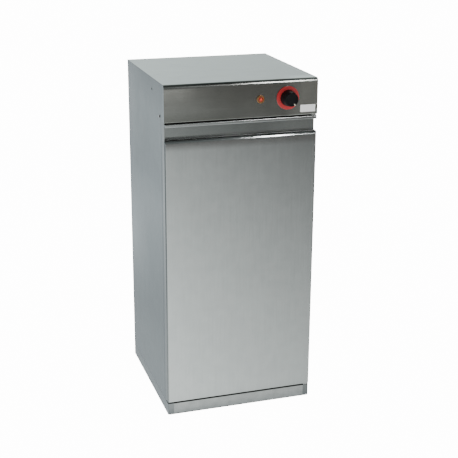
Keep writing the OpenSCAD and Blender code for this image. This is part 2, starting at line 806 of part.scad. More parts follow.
module wiring_loom() {
    tab_y = plate_y + thermostat_l + 8;
    low_z = block_z + loom_r + 2;
    color([0.75, 0.25, 0.2]) {
        for (i = [0, 1]) let (from_x = block_x - 14 + i * 15.2, to_x = dial_x - 8 + i * 16)
            wire([[from_x, block_y, low_z], [from_x, block_y - 60, low_z], [to_x, -90, low_z],
                  [to_x, tab_y + 25, dial_z + 5.4], [to_x, tab_y, dial_z + 5.4]]);
        wire([[block_x - 20, block_y, low_z], [block_x - 20, block_y - 20, low_z],
              [lamp_x, 40, low_z], [lamp_x, -120, low_z],
              [lamp_x, front_y + 50, dial_z], [lamp_x, front_y + 24, dial_z]]);
        for (side = [-1, 1]) let (from_x = block_x + side * 6)
            wire([[from_x, block_y + 22, low_z], [from_x, block_y + 30, low_z],
                  [side * loom_x, loom_y, low_z], [side * loom_x, loom_y, element_z],
                  [side * loom_x, element_end, element_z]]);
    }
}

// Gland for the mains cable: hexagon, domed cap and a neck through the panel
module cable_gland() {
    color([0.15, 0.15, 0.15]) difference() {
        translate([entry_x, back_y, entry_z]) rotate([-90, 0, 0]) {
            cylinder(h = 5, r = 12, $fn = 6);
            translate([0, 0, -9]) cylinder(h = 10, r = 7.9);
            translate([0, 0, 4.9]) cylinder(h = 8.1, r = 9.5);
            translate([0, 0, 13]) cylinder(h = 4, r1 = 9.5, r2 = 7);
        }
        bore_y(entry_x, entry_z, cable_bore_r, back_y - 12, back_y + 20);
    }
}

module gland_nut() {
    color([0.15, 0.15, 0.15]) difference() {
        translate([entry_x, back_y - skin_t - 4.5, entry_z])
            rotate([-90, 0, 0]) cylinder(h = 4.5, r = 12, $fn = 6);
        bore_y(entry_x, entry_z, 8, back_y - 12, back_y);
    }
}

// ---- Hinges, catch and fasteners ----

leaf_y1 = door_back - 0.6;
leaf_h = min(leaf_t, door_gap - 0.9);
hinge_screw_r = 1.5;
hinge_head_r = 2.6;
hinge_head_h = 1.1;
leaf_screws = [[pivot_x - 3.5, leaf_y1 - 3.4], [pivot_x + 2.6, leaf_y1 - 7]];

// A leaf seen from the door's side, with its outer front corner round the pivot
module leaf() {
    x1 = half_w - 0.8;
    corner = min(x1 - pivot_x, pivot_y - front_y - 0.8);
    difference() {
        union() {
            linear_extrude(leaf_h) {
                plate([x1 - leaf_w, pivot_y], [x1, leaf_y1]);
                plate([x1 - leaf_w, pivot_y - corner], [pivot_x, leaf_y1]);
            }
            translate([pivot_x, pivot_y, 0]) cylinder(h = leaf_h, r = corner);
        }
        translate([pivot_x, pivot_y, -1]) cylinder(h = leaf_h + 2, r = pin_r + 0.02);
        for (p = leaf_screws) translate([p.x, p.y, 0]) countersink();
    }
}

// A countersunk screw, its head level with the leaf's face
module hinge_screw() {
    translate([0, 0, -6]) cylinder(h = leaf_h + 6 - hinge_head_h, r = hinge_screw_r);
    translate([0, 0, leaf_h - hinge_head_h]) cylinder(h = hinge_head_h, r1 = hinge_screw_r, r2 = hinge_head_r);
}

module countersink() {
    r = hinge_screw_r + 0.1;
    slope = (hinge_head_r - hinge_screw_r) / hinge_head_h;
    translate([0, 0, -1]) cylinder(h = leaf_h + 1, r = r);
    translate([0, 0, leaf_h - hinge_head_h])
        cylinder(h = 2 * hinge_head_h, r1 = r, r2 = r + 2 * hinge_head_h * slope);
}

module upper_hinge_leaf() {
    color([0.68, 0.69, 0.69]) translate([0, 0, fascia_z]) mirror([0, 0, 1]) leaf();
}

module lower_hinge_leaf() {
    color([0.68, 0.69, 0.69]) translate([0, 0, plinth_h]) leaf();
}

// Pins riveted into the leaves, one down into the lip, one up into the foot
module hinge_pins() {
    color([0.6, 0.6, 0.6]) {
        rod([pivot_x, pivot_y, lip_z + skin_t + 0.6], [pivot_x, pivot_y, fascia_z], pin_r);
        rod([pivot_x, pivot_y, plinth_h], [pivot_x, pivot_y, door_z0 + skin_t + lower_bush_h - 2], pin_r);
    }
}

module hinge_screws() {
    color([0.7, 0.7, 0.7]) for (p = leaf_screws) {
        translate([p.x, p.y, fascia_z]) mirror([0, 0, 1]) hinge_screw();
        translate([p.x, p.y, plinth_h]) hinge_screw();
    }
}

// Low pan-head screws through the side panels into the control shelf
module side_screws() {
    color([0.85, 0.85, 0.85]) for (side = [0, 1]) mirror([side, 0, 0])
        translate([half_w, side_screw_y, side_screw_z])
        rotate([0, 90, 0]) {
            cylinder(h = 0.8, r = 3.8);
            translate([0, 0, 0.79]) cylinder(h = 1.1, r1 = 3.8, r2 = 2.6);
            translate([0, 0, -7]) cylinder(h = 7.1, r = screw_r);
        }
}

module cleat_rivets() {
    color([0.4, 0.4, 0.4]) for (side = [0, 1]) mirror([side, 0, 0]) translate([half_w, rivet_y, rivet_z])
        rotate([0, 90, 0]) {
            cylinder(h = 0.7, r1 = 3, r2 = 2.4);
            translate([0, 0, -4.5]) cylinder(h = 4.6, r = screw_r);
        }
}

module back_screws() {
    color([0.75, 0.75, 0.75]) for (p = back_screw_places) translate([p.x, back_y, p.y]) rotate([-90, 0, 0]) {
        cylinder(h = 0.8, r = 3.6);
        translate([0, 0, 0.79]) cylinder(h = 1.1, r1 = 3.6, r2 = 2.4);
        translate([0, 0, -6]) cylinder(h = 6.1, r = screw_r);
    }
}

catch_x = cavity_w - 20;
catch_w = 40;
catch_h = 12;
catch_z = shoulder_z + 10;
strike_t = 0.8;

// Magnetic catch let into the frame above the cavity
module magnetic_catch() {
    x0 = -catch_x - catch_w / 2;
    color([0.18, 0.18, 0.18]) {
        block([x0, door_back + strike_t + 0.3, catch_z], [x0 + catch_w, wall_y + 12, catch_z + catch_h]);
        block([x0 - 6, wall_y, catch_z + 2], [x0 + catch_w + 6, wall_y + 2, catch_z + catch_h - 2]);
    }
}

// ---- Door ----

// Plan of the door from its face back to y1, with rounded front edges
module door_plan(inset, y1) {
    front_rounded([-half_w + inset, front_y + inset], [half_w - inset, y1], door_side_r - inset);
}

// Side view of the door below the grip, back to y1, with its rounded top edge
module door_side(inset, y1) {
    r = door_top_r - inset;
    c = [front_y + door_top_r, shoulder_z - door_top_r];
    plate([front_y + inset, door_z0 + inset], [y1, c.y]);
    plate([c.x, c.y], [y1, shoulder_z - inset]);
    intersection() {
        translate(c) circle(r);
        plate([c.x - r, c.y], [c.x, c.y + r]);
    }
}

module door_block(inset, y1) {
    intersection() {
        translate([0, 0, door_z0 - 1]) linear_extrude(shoulder_z - door_z0 + 2) door_plan(inset, y1);
        along_x(-half_w - 1, half_w + 1) door_side(inset, y1);
    }
}

// Side view of the lip above the grip, back to y1
module lip_side(inset, y1) {
    r = bend_r - inset;
    z0 = lip_z + inset;
    z1 = door_z1 - inset;
    plate([front_y + bend_r, z0], [y1, z1]);
    plate([front_y + inset, z0 + r], [front_y + bend_r, z1 - r]);
    for (z = [z0 + r, z1 - r]) intersection() {
        translate([front_y + bend_r, z]) circle(r);
        plate([front_y + inset, z0], [front_y + bend_r, z1]);
    }
}

// A flat rib folded in the same sheet, open at its right end
module door_lip() {
    difference() {
        intersection() {
            translate([0, 0, lip_z]) linear_extrude(lip_h) door_plan(0, door_back);
            along_x(-half_w, half_w) lip_side(0, door_back);
        }
        along_x(-inner_w, half_w + 1) lip_side(skin_t, door_back - skin_t);
    }
}

// Outer skin folded from one sheet: face, edges, grip channel, lip and end cap
module door_skin() {
    color([0.75, 0.76, 0.75]) difference() {
        union() {
            difference() {
                door_block(0, door_back);
                door_block(skin_t, door_back + 1);
            }
            block([-half_w, door_back - skin_t, shoulder_z - skin_t], [half_w, door_back, lip_z + skin_t]);
            block([-half_w, front_y + door_side_r, shoulder_z - door_top_r],
                  [-inner_w, door_back, fascia_z - cap_gap]);
            door_lip();
        }
        translate([pivot_x, pivot_y, door_z0 - 1]) cylinder(h = skin_t + 2, r = pin_r + 0.5);
        translate([pivot_x, pivot_y, door_z1 - skin_t - 1]) cylinder(h = skin_t + 2, r = pin_r + 0.5);
    }
}

// Shallow pan that closes the back of the door
module door_inner_panel() {
    w = inner_w - seam;
    z0 = door_z0 + skin_t + seam;
    z1 = shoulder_z - skin_t - seam;
    y = door_back - door_panel_edge;
    t = door_panel_t;
    color([0.7, 0.71, 0.7]) difference() {
        block([-w, y, z0], [w, door_back, z1]);
        block([-w + t, y - 1, z0 + t], [w - t, door_back - t, z1 - t]);
        for (p = rivet_places) bore_y(p.x, p.y, 1.7, door_back - t - 1, door_back + 1);
    }
}

module door_insulation() {
    w = inner_w - seam - door_panel_t - wool_gap;
    y0 = front_y + skin_t + wool_gap;
    y1 = door_back - door_panel_t - wool_gap;
    z0 = door_z0 + skin_t + seam + door_panel_t + wool_gap;
    z1 = shoulder_z - door_top_r;
    color(wool) difference() {
        block([-w + 3, y0, z0], [w - 3, y1, z1]);
        block([bush_x0 - 1, y0 - 1, z0 - 1], [half_w, y1 + 1, door_z0 + skin_t + lower_bush_h + 2]);
        for (p = rivet_places) bore_y(p.x, p.y, 4, door_back - 8, door_back);
    }
}

// Flat silicone strip that meets the frame round the cavity
module door_gasket() {
    gap = 1.5;
    in_x = cavity_w + gap;
    in_z0 = cavity_z0 - gap;
    in_z1 = cavity_z1 + gap;
    color([0.25, 0.25, 0.26]) along_y(door_back, frame_y - gasket_gap) difference() {
        plate([-in_x - gasket_w, in_z0 - gasket_w], [in_x + gasket_w, in_z1 + gasket_w]);
        plate([-in_x, in_z0], [in_x, in_z1]);
    }
}

bush_x0 = pivot_x - 8;
bush_gap = 0.1;
lower_bush_y1 = min(pivot_y + 7, door_back - door_panel_edge - 0.5);

// One bush: the end of the door's inside, from z0 up to z1 and back to y1
module bush(z0, z1, y1) {
    translate([0, 0, z0]) linear_extrude(z1 - z0) difference() {
        intersection() {
            door_plan(skin_t + bush_gap, y1);
            plate([bush_x0, front_y + bend_r], [half_w, y1]);
        }
        translate([pivot_x, pivot_y]) circle(pin_r + pin_play);
    }
}

// Plastic bushes that turn on the pins: in the lip's end and in the door's foot
module pivot_bushes() {
    color([0.9, 0.9, 0.88]) {
        bush(lip_z + skin_t + bush_gap, door_z1 - skin_t - bush_gap, door_back - skin_t - bush_gap);
        bush(door_z0 + skin_t, door_z0 + skin_t + lower_bush_h, lower_bush_y1);
    }
}

module catch_strike() {
    color([0.7, 0.7, 0.7]) block([-catch_x - 22, door_back, catch_z - 2],
                                 [-catch_x + 22, door_back + strike_t, catch_z + catch_h + 2]);
}

rivet_x = half_w - 6;
rivet_places = [for (x = [-rivet_x, rivet_x]) for (i = [0:3])
    [x, door_z0 + 40 + i * (shoulder_z - door_z0 - 80) / 3]];

module door_rivets() {
    color([0.75, 0.75, 0.75]) for (p = rivet_places) {
        bore_y(p.x, p.y, 3, door_back, door_back + 0.8);
        bore_y(p.x, p.y, 1.6, door_back - door_panel_t - 3, door_back + 0.1);
    }
}

// ---- Knob ----

knob_edge = 1.6;
knob_foot = 3;
knob_front_r = knob_r - knob_taper;
pointer_turn = -60;
pointer_w = 2.4;
pointer_l = 5;

// A filled quarter of a circle, for rounding an outline's upper outer corner
module quarter(centre, r) {
    translate(centre) intersection() {
        circle(r);
        square(r);
    }
}

// Half the section of the knob: a straight foot, a tapered side and a rounded
// front edge round a shallow dish
module knob_section() {
    side_l = knob_l - knob_edge;
    plate([0, 0], [knob_r, knob_foot]);
    polygon([[0, knob_foot], [knob_r, knob_foot], [knob_front_r, side_l], [0, side_l]]);
    plate([0, side_l - 1], [knob_front_r - knob_edge - 2, knob_l - 0.8]);
    plate([knob_front_r - knob_edge - 2, side_l - 1], [knob_front_r - knob_edge, knob_l]);
    quarter([knob_front_r - knob_edge, side_l], knob_edge);
}

// The index line across the front's rim, let in by 1.4
module index_line(play, rise) {
    w = pointer_w / 2 + play;
    rotate([0, 0, pointer_turn]) block([knob_front_r - pointer_l - play, -w, knob_l - 1.4 - play],
                                       [knob_front_r - 0.3 + rise, w, knob_l + rise]);
}

module knob() {
    color([0.09, 0.09, 0.1]) translate([dial_x, knob_y, dial_z]) rotate([90, 0, 0]) difference() {
        rotate_extrude() knob_section();
        translate([0, 0, -1]) cylinder(h = shaft_depth + 1, r = shaft_r + 0.02);
        index_line(0.05, 2);
    }
}

module knob_pointer() {
    color([0.85, 0.84, 0.78]) translate([dial_x, knob_y, dial_z]) rotate([90, 0, 0]) index_line(0, 0.15);
}

module thermostat_shaft() {
    color([0.7, 0.7, 0.7]) bore_y(dial_x, dial_z, shaft_r, knob_y - shaft_depth + 0.5, plate_y + 17);
}

top_cover();
left_side_panel();
right_side_panel();
back_panel();
base_tray();
plinth_front();
floor_pan();
front_frame();
control_shelf();
left_cleat();
right_cleat();
liner_wrap();
liner_floor();
liner_back();
side_insulation();
back_insulation();
roof_insulation();
floor_insulation();
left_rack();
right_rack();
rack_studs();
lower_shelf();
upper_shelf();
heating_element();
element_bushes();
front_element_stand();
rear_element_stand();
element_guard();
thermostat_body();
capillary();
thermostat_bulb();
bulb_clips();
thermostat_screws();
dial_bezel();
lamp_collar();
lamp_lens();
lamp_nut();
terminal_block();
wiring_loom();
cable_gland();
gland_nut();
upper_hinge_leaf();
lower_hinge_leaf();
hinge_pins();
hinge_screws();
side_screws();
cleat_rivets();
back_screws();
magnetic_catch();
door_skin();
door_inner_panel();
door_insulation();
door_gasket();
pivot_bushes();
catch_strike();
door_rivets();
knob();
knob_pointer();
thermostat_shaft();
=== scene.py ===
# Plate warmer cabinet: finishes, small pieces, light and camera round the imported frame; lengths in metres
import math

import bmesh
import bpy
from mathutils import Matrix, Vector


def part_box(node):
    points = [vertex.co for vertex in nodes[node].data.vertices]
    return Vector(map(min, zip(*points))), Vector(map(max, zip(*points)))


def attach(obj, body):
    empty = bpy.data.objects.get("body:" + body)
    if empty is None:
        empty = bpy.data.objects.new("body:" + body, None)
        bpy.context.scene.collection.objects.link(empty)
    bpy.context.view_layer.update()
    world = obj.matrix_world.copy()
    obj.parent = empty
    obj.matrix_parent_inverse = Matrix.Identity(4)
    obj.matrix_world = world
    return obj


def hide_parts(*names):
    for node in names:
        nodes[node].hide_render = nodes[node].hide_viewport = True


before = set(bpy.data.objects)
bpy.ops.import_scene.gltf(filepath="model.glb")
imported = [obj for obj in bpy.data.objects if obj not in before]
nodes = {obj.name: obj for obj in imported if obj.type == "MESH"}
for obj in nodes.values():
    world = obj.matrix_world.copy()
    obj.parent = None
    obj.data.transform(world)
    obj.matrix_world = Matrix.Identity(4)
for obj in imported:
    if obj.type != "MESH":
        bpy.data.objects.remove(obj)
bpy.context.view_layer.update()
print("frame loaded:", len(nodes), "nodes")


# shader maths as expressions: a Wire is one output socket of a graph
class Wire:
    def __init__(self, graph, socket):
        self.graph = graph
        self.socket = socket

    # another output of the same node, by number or by name
    def other(self, output):
        return Wire(self.graph, self.socket.node.outputs[output])

    def math(self, operation, first, second=None):
        values = {"0": first} if second is None else {"0": first, "1": second}
        return self.graph.node("ShaderNodeMath", {"operation": operation}, values)

    def __add__(self, other):
        return self.math("ADD", self, other)

    def __radd__(self, other):
        return self.math("ADD", other, self)

    def __sub__(self, other):
        return self.math("SUBTRACT", self, other)

    def __rsub__(self, other):
        return self.math("SUBTRACT", other, self)

    def __mul__(self, other):
        return self.math("MULTIPLY", self, other)

    def __rmul__(self, other):
        return self.math("MULTIPLY", other, self)

    def __pow__(self, other):
        return self.math("POWER", self, other)

    def __rpow__(self, other):
        return self.math("POWER", other, self)

    def atLeast(self, low):
        return self.math("MAXIMUM", self, low)

    def exponent(self):
        return self.math("EXPONENT", self)

    def size(self):
        return self.math("ABSOLUTE", self)


# a node tree, and what is often made in one
class Graph:
    def __init__(self, tree):
        self.tree = tree
        self.place = None

    # any node: its type, its settings (set first), then the values or links of its sockets
    def node(self, kind, settings=None, values=None, output=0):
        made = self.tree.nodes.new(kind)
        for key, value in (settings or {}).items():
            setattr(made, key, value)
        for key, value in (values or {}).items():
            self.feed(made.inputs[int(key) if key.isdigit() else key], value)
        return Wire(self, made.outputs[output])

    def feed(self, socket, value):
        if isinstance(value, Wire):
            self.tree.links.new(value.socket, socket)
        else:
            socket.default_value = value

    # where the surface is, in metres, before the pose
    def where(self):
        if self.place is None:
            self.place = self.node("ShaderNodeTexCoord", output=3)
        return self.place

    # its x; y and z are the node's other outputs
    def spot(self):
        return self.node("ShaderNodeSeparateXYZ", None, {"Vector": self.where()})

    # 1 inside a box given by its corners, 0 outside; soft is one width for its edges, or one for each axis
    def within(self, low, high, soft):
        place, mask = self.spot(), 1.0
        widths = soft if isinstance(soft, tuple) else (soft, soft, soft)
        for axis, width in enumerate(widths):
            if low[axis] is not None:
                mask = self.span(place.other(axis), low[axis] - width, low[axis] + width) * mask
            if high[axis] is not None:
                mask = self.span(place.other(axis), high[axis] + width, high[axis] - width) * mask
        return mask

    def noise(self, size, detail=2.0, stretch=(1, 1, 1), roughness=0.5):
        spread = tuple(amount / size for amount in stretch)
        place = self.node("ShaderNodeVectorMath", {"operation": "MULTIPLY"}, {"0": self.where(), "1": spread})
        return self.node("ShaderNodeTexNoise", {"noise_dimensions": "3D"},
                         {"Vector": place, "Scale": 1.0, "Detail": detail, "Roughness": roughness})

    def span(self, value, low, high, newLow=0.0, newHigh=1.0):
        return self.node("ShaderNodeMapRange", {"clamp": True},
                         {"Value": value, "From Min": low, "From Max": high,
                          "To Min": newLow, "To Max": newHigh})

    def blendColours(self, mask, first, second, mode="MIX"):
        return self.node("ShaderNodeMix", {"data_type": "RGBA", "blend_type": mode},
                         {"0": mask, "6": first, "7": second}, output=2)

    # a surface that only gives light
    def glowing(self, colour, strength):
        return self.node("ShaderNodeBsdfPrincipled", None,
                         {"Base Color": rgba(0), "Specular IOR Level": 0.0, "Roughness": 1.0,
                          "Emission Color": colour, "Emission Strength": strength})

    def bump(self, height, strength, distance):
        return self.node("ShaderNodeBump", None,
                         {"Height": height, "Strength": strength, "Distance": distance})


class Finish(Graph):
    def __init__(self, name):
        self.material = bpy.data.materials.new(name)
        self.material.use_nodes = True
        super().__init__(self.material.node_tree)
        self.shader = self.tree.nodes["Principled BSDF"]

    def give(self, **values):
        names = {"colour": "Base Color", "rough": "Roughness", "metal": "Metallic", "normal": "Normal",
                 "coat": "Coat Weight", "coatRough": "Coat Roughness", "ior": "IOR",
                 "specular": "Specular IOR Level", "sheen": "Sheen Weight", "sheenRough": "Sheen Roughness",
                 "glow": "Emission Color", "glowStrength": "Emission Strength"}
        for key, value in values.items():
            self.feed(self.shader.inputs[names[key]], value)
        return self.material


# a number alone is a grey
def rgba(colour):
    red, green, blue = colour if isinstance(colour, tuple) else (colour, colour, colour)
    return (red, green, blue, 1.0)


# a box where a finish is darker or paler, as painted shade or light, rougher or polished; None leaves a side
# of the box open
def shade(low=(None, None, None), high=(None, None, None), soft=0.001, colour=1.0, rough=0.0, polish=0.0):
    return {"low": low, "high": high, "soft": soft, "colour": colour, "rough": rough, "polish": polish}


# outer sheets, the dull strip of the plinth, and the inner sheets
casing = {"light": (0.640, 0.650, 0.645), "dark": (0.580, 0.588, 0.584), "rough": 0.185, "wave": 0.0007,
          "grainLength": 0.075, "grainWidth": 0.00075, "grainDepth": 0.000005, "handled": (0.60, 0.60, 0.585),
          "mottle": 0.030, "mottled": (0.955, 0.958, 0.960)}
strip = dict(casing, light=(0.600, 0.605, 0.600), dark=(0.540, 0.545, 0.540), mottle=0.022, mottled=0.86)
sheet = {"light": (0.60, 0.605, 0.60), "dark": (0.50, 0.505, 0.50), "rough": 0.40, "wave": 0.0004,
         "grainLength": 0.02, "grainWidth": 0.0011, "grainDepth": 0.00001, "handled": (0.55, 0.545, 0.53)}
# what all brushed sheets share. A noise is a size, a detail, a stretch and a roughness, but fine and coarse
# are only a detail and a roughness; streaked, clouded, smudged and patched are the range of a noise that shows
brushing = {"fineShare": 0.6, "fine": (3.0, 0.62), "coarse": (2.0, 0.5), "across": 0.22, "along": 0.5,
            "streaked": (0.3, 0.7), "cloud": (0.16, 3.0, (1, 1, 1), 0.55), "clouded": (0.4, 0.65),
            "smudge": (0.045, 4.0, (1, 1, 0.8), 0.6), "smudged": (0.56, 0.74), "smudgeDepth": 0.55,
            "patched": (0.35, 0.65), "wave": (0.22, 1.0),
            "grainRough": 0.06, "cloudRough": 0.10, "smudgeRough": 0.03}


# brushed sheet: along is the axis of its grain, ease tilts the face where it nears a bend
def brushedSteel(name, along, look=casing, roughShift=0.0, tint=(1, 1, 1), shades=None, ease=None):
    made = Finish(name)
    stretch = [1.0 / look["grainWidth"]] * 3
    stretch[along] = 1.0 / look["grainLength"]
    shares = [brushing["along" if axis == along else "across"] for axis in range(3)]
    broader = [amount * share for amount, share in zip(stretch, shares)]
    grain = made.noise(1.0, brushing["fine"][0], stretch, brushing["fine"][1])
    coarse = made.noise(1.0, brushing["coarse"][0], broader, brushing["coarse"][1])
    cloud = made.noise(*brushing["cloud"])
    smudge = made.span(made.noise(*brushing["smudge"]), *brushing["smudged"])
    streak = grain * brushing["fineShare"] + coarse * (1 - brushing["fineShare"])
    dark, light = (tuple(level * t for level, t in zip(look[key], tint)) for key in ("dark", "light"))
    base = made.blendColours(made.span(streak, *brushing["streaked"]), rgba(dark), rgba(light))
    smudges = smudge * made.span(cloud, *brushing["clouded"]) * brushing["smudgeDepth"]
    base = made.blendColours(smudges, base, rgba(look["handled"]))
    if "mottle" in look:
        patches = made.span(made.noise(look["mottle"]), *brushing["patched"])
        base = made.blendColours(patches, base, rgba(look["mottled"]), "MULTIPLY")
    rough = (look["rough"] + roughShift + (grain - 0.5) * brushing["grainRough"]
             + (cloud - 0.5) * brushing["cloudRough"] + smudge * brushing["smudgeRough"])
    relief = streak * look["grainDepth"]
    # the shade boxes paint shade and light into the colour and change the roughness
    for part in (shades or {}).values():
        mask = made.within(part["low"], part["high"], part["soft"])
        base = made.blendColours(mask, base, rgba(part["colour"]), "MULTIPLY")
        if part["rough"]:
            rough = rough + mask * part["rough"]
        if part["polish"]:
            rough, relief = rough * (1 - mask * part["polish"]), relief * (1 - mask)
    height = relief + made.noise(*brushing["wave"]) * look["wave"]
    if ease:
        rise = made.span(made.spot().other(2), ease["from"], ease["to"])
        height = height - rise * rise * ease["drop"]
    return made.give(colour=base, rough=rough, metal=1.0, normal=made.bump(height, 1.0, 1.0))


# the cover: its smoother, darker control face, its front bend, and a painted shadow in the seam under the face
coverShades = {
    "fascia": shade(high=(None, -0.190, None), soft=0.0015, colour=(0.74, 0.73, 0.695), rough=-0.04),
    "jointShadow": shade((-0.1978, -0.1985, None), (0.1978, None, 0.7960), 0.0008, 0.12, rough=0.2),
    "fold": shade((None, None, 0.8815), (None, -0.1965, None), 0.0008, polish=0.8),
    # painted shade dims the bend's highlight on the left half, and painted light pales the bend's top there
    "bendLeft": shade((None, None, 0.8798), (0.002, -0.1965, 0.8836), (0.038, 0.0008, 0.0004), 0.36),
    "bendMiddle": shade((-0.080, None, 0.8782), (0.002, -0.1965, 0.8798), (0.038, 0.0008, 0.0006), 0.40),
    "bendLow": shade((None, None, 0.8740), (-0.110, -0.1965, 0.8798), (0.050, 0.0008, 0.0010), 0.52),
    "bendTop": shade((None, None, 0.8840), (0.05, -0.1985, None), (0.04, 0.0006, 0.0003), 1.6),
    # painted light at the face's upper left and right end, and painted shade at its lower left
    "fasciaTop": shade((None, None, 0.840), (-0.11, -0.195, None), (0.045, 0.004, 0.03), 1.45),
    "fasciaCorner": shade((None, None, 0.855), (-0.135, -0.195, None), (0.020, 0.004, 0.015), 1.30),
    "fasciaLow": shade(high=(0.0, -0.195, 0.808), soft=(0.05, 0.004, 0.010), colour=(0.74, 0.74, 0.73)),
    "fasciaRight": shade((0.135, None, None), (None, -0.170, None), 0.025, 1.75)}
# the door: its grip channel, the shelf and shoulder in it, the lip over it, and the bends round its face
doorShades = {
    # painted shade in the grip channel, paler to the right, and on its shelf, darker at the front and right,
    # paler at the left
    "grip": shade((-0.1990, -0.1930, 0.7470), (0.1990, -0.1796, 0.7800), 0.0005, (0.61, 0.62, 0.61)),
    "gripRight": shade((0.100, -0.1930, 0.7520), (None, -0.1796, 0.7800), (0.05, 0.0005, 0.0008), 1.6),
    "shelf": shade((-0.1988, -0.1985, 0.7465), (0.1988, -0.1796, 0.7490), (0.0004, 0.0005, 0.0008), 0.60,
                   rough=0.25),
    "shelfFront": shade((-0.1988, -0.1985, 0.7465), (0.1988, -0.1920, 0.7490), (0.0004, 0.0020, 0.0008),
                        0.68),
    "shelfLeft": shade((-0.1988, -0.1920, 0.7465), (-0.1250, -0.1796, 0.7490), (0.0250, 0.0020, 0.0008), 1.5),
    "shelfRight": shade((0.0300, -0.1985, 0.7465), (0.1988, -0.1796, 0.7490), (0.0400, 0.0005, 0.0008), 0.42),
    # painted shade on the shoulder, under the lip's left part and on the top bend's left part; a painted
    # shadow on the lip's top
    "shoulder": shade((-0.1988, -0.1993, 0.7463), (0.1988, -0.1940, 0.7495), 0.0004, 0.28),
    "lipUnder": shade((-0.1988, None, 0.7796), (-0.050, -0.1990, 0.7816), (0.0400, 0.0004, 0.0004), 0.72),
    "foldLeft": shade((-0.1988, None, 0.7440), (-0.060, -0.1985, 0.7495), (0.03, 0.0004, 0.0010), 0.62),
    "lipTop": shade((-0.1988, -0.1990, 0.7868), (0.1988, -0.1800, None), 0.0006, 0.15, rough=0.2),
    "fold": shade((None, None, 0.7400), (None, -0.1985, 0.7495), 0.0008, polish=0.55),
    # painted light on the door's left side face, and painted shade on its rounded front corner
    "side": shade((-0.2010, -0.1980, None), (-0.1994, -0.1796, None), 0.0003, 1.25),
    "corner": shade((-0.2005, None, None), (-0.1968, -0.1985, 0.7440), 0.0005, (0.60, 0.61, 0.61))}
doorEase = {"from": 0.718, "to": 0.742, "drop": 0.0008}
# the side sheets: painted light and shade in broad patches, and a thin darker line behind the front edge
sideShades = {
    # painted light to the rear, at the upper front, at the foot and along the front edge; painted shade across
    # the middle
    "rear": shade((None, 0.07, 0.31), (None, None, 0.47), 0.09, (1.46, 1.44, 1.42)),
    "rearTop": shade((None, 0.07, 0.69), (None, None, 0.88), 0.07, (1.46, 1.44, 1.42)),
    "top": shade((None, None, 0.75), (None, 0.05, 0.84), 0.04, (1.28, 1.27, 1.26)),
    "middle": shade((None, None, 0.61), (None, 0.15, 0.67), 0.05, (0.78, 0.78, 0.79)),
    "foot": shade(high=(None, None, 0.18), soft=0.06, colour=(1.17, 1.16, 1.15)),
    "front": shade(high=(None, -0.188, None), soft=0.005, colour=1.15),
    "line": shade((None, -0.1715, None), (None, -0.1665, 0.81), 0.0015, 0.72)}
# the plinth: painted shade on the tray's front corners, and a darker line where its top turns in
trayShades = {"front": shade(high=(None, -0.1980, None), soft=0.0012, colour=0.40),
              "rim": shade(low=(None, None, 0.0312), soft=0.0010, colour=0.62, rough=0.1)}
# the strip: painted shade towards its left end, and a painted shadow where its top turns in
stripShades = {"left": shade(high=(0.0, None, None), soft=0.18, colour=0.88),
               "top": shade(low=(None, None, 0.0310), soft=0.0006, colour=0.14, rough=0.2)}
# the sheet seen through the gap over the door stays in shadow
frameShades = {"gap": shade(low=(None, None, 0.7750), soft=0.004, colour=0.10, rough=0.2)}


# a fine noise gives the relief and a broad one wears the colour; each is a size, a detail and a stretch
def wornSurface(name, look):
    made = Finish(name)
    fine, broad = made.noise(*look["fine"]), made.noise(*look["broad"])
    spots = made.span(broad, *look["spots"])
    base = made.blendColours(spots * look["share"], rgba(look["clean"]), rgba(look["worn"]))
    rough = look["rough"]
    for source, key in ((fine, "fineRough"), (broad, "broadRough"), (spots, "spotRough")):
        if key in look:
            rough = rough + source * look[key]
    normal = made.bump(fine, look["relief"], look["depth"])
    return made.give(colour=base, rough=rough, normal=normal, **look["gloss"])


chrome = {"fine": (0.03, 3.0), "broad": (0.0016, 2.0), "spots": (0.66, 0.78), "share": 0.5, "rough": 0.12,
          "fineRough": 0.12, "spotRough": 0.2, "relief": 0.05, "depth": 0.0004, "gloss": {"metal": 1.0},
          "clean": (0.80, 0.80, 0.79), "worn": (0.42, 0.40, 0.38)}
zinc = {"fine": (0.0009, 3.0, (1, 1, 3)), "broad": (0.0035, 4.0), "spots": (0.55, 0.75), "share": 0.6,
        "rough": 0.22, "fineRough": 0.14, "spotRough": 0.15, "relief": 0.08, "depth": 0.0003,
        "gloss": {"metal": 1.0}, "clean": (0.70, 0.70, 0.69), "worn": (0.45, 0.44, 0.42)}
rubber = {"fine": (0.003, 5.0), "broad": (0.003, 5.0), "spots": (0.5, 0.75), "share": 0.5, "rough": 0.62,
          "fineRough": 0.2, "relief": 0.2, "depth": 0.0003, "gloss": {"specular": 0.4},
          "clean": (0.040, 0.040, 0.042), "worn": (0.11, 0.108, 0.104)}
bareCard = {"fine": (0.0012, 4.0), "broad": (0.02, 3.0), "spots": (0.4, 0.8), "share": 0.5, "rough": 0.42,
            "fineRough": 0.12, "relief": 0.05, "depth": 0.0002, "gloss": {"coat": 0.2, "coatRough": 0.25},
            "clean": 0.97, "worn": (0.88, 0.88, 0.87)}
turnedMetal = {"fine": (0.0008, 2.0, (1, 4, 1)), "broad": (0.006, 4.0), "spots": (0.42, 0.68), "share": 1.0,
               "fineRough": 0.08, "broadRough": 0.15, "relief": 0.08, "depth": 0.0003,
               "gloss": {"metal": 1.0}}
plastic = {"fine": (0.0007, 3.0), "broad": (0.012, 4.0), "spots": (0.5, 0.8), "share": 0.6,
           "fineRough": 0.10, "broadRough": 0.18, "relief": 0.15, "depth": 0.0002, "coatRough": 0.15}


def warmMetal(name, clean, worn, rough):
    return wornSurface(name, dict(turnedMetal, clean=clean, worn=worn, rough=rough))


# rough is the mean, where both noises are at a half
def mouldedPlastic(name, clean, worn, rough, coat=0.0, shine=0.5):
    rough = rough - (plastic["fineRough"] + plastic["broadRough"]) / 2
    gloss = {"coat": coat, "coatRough": plastic["coatRough"], "specular": shine}
    return wornSurface(name, dict(plastic, clean=clean, worn=worn, rough=rough, gloss=gloss))


